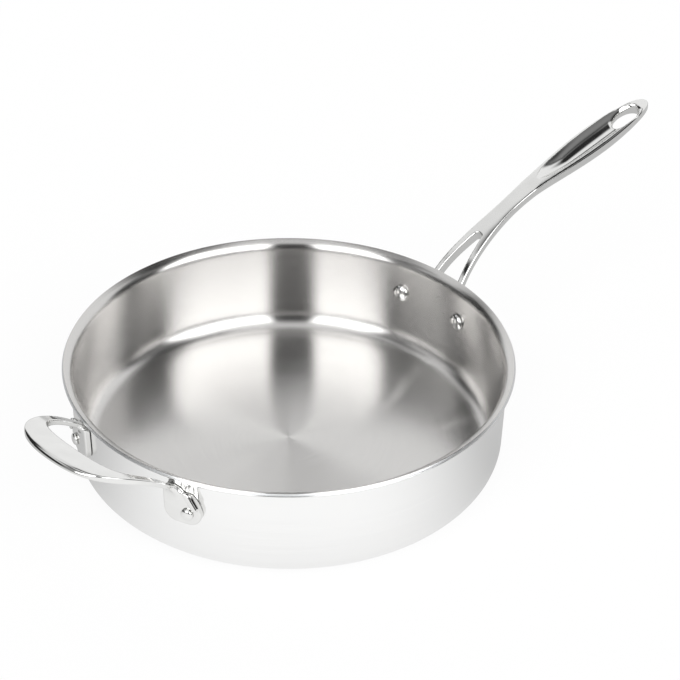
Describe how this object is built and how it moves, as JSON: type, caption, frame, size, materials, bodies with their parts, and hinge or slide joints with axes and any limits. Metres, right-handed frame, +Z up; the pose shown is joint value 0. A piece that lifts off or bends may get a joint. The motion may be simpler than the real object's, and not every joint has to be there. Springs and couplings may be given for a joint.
{
  "type": "saute pan",
  "caption": "Straight-walled stainless saute pan with a flared pouring lip, a forked long handle with a hollowed grip and hanging eye, and a broad loop helper handle.",
  "frame": {"origin": "centre of the base's underside, on the surface the pan stands on", "axes": "+Z up out of the pan's mouth, +X along the long handle, the helper handle at -X"},
  "size_m": [0.6141, 0.316, 0.1325],
  "materials": {
    "brushed_inside": "stainless steel brushed in circles about the pan's axis",
    "polished_outside": "stainless steel, bright polished",
    "polished_handles": "cast stainless steel, polished",
    "rivets": "stainless steel, polished",
    "core": "rolled, bonded between the two skins"
  },
  "bodies": {
    "root": {"inner_ply": "brushed_inside", "core_ply": "core", "outer_ply": "polished_outside", "long_handle": "polished_handles", "helper_handle": "polished_handles", "long_rivet_left": "rivets", "long_rivet_right": "rivets", "helper_rivet_left": "rivets", "helper_rivet_right": "rivets"}
  },
  "joints": []
}
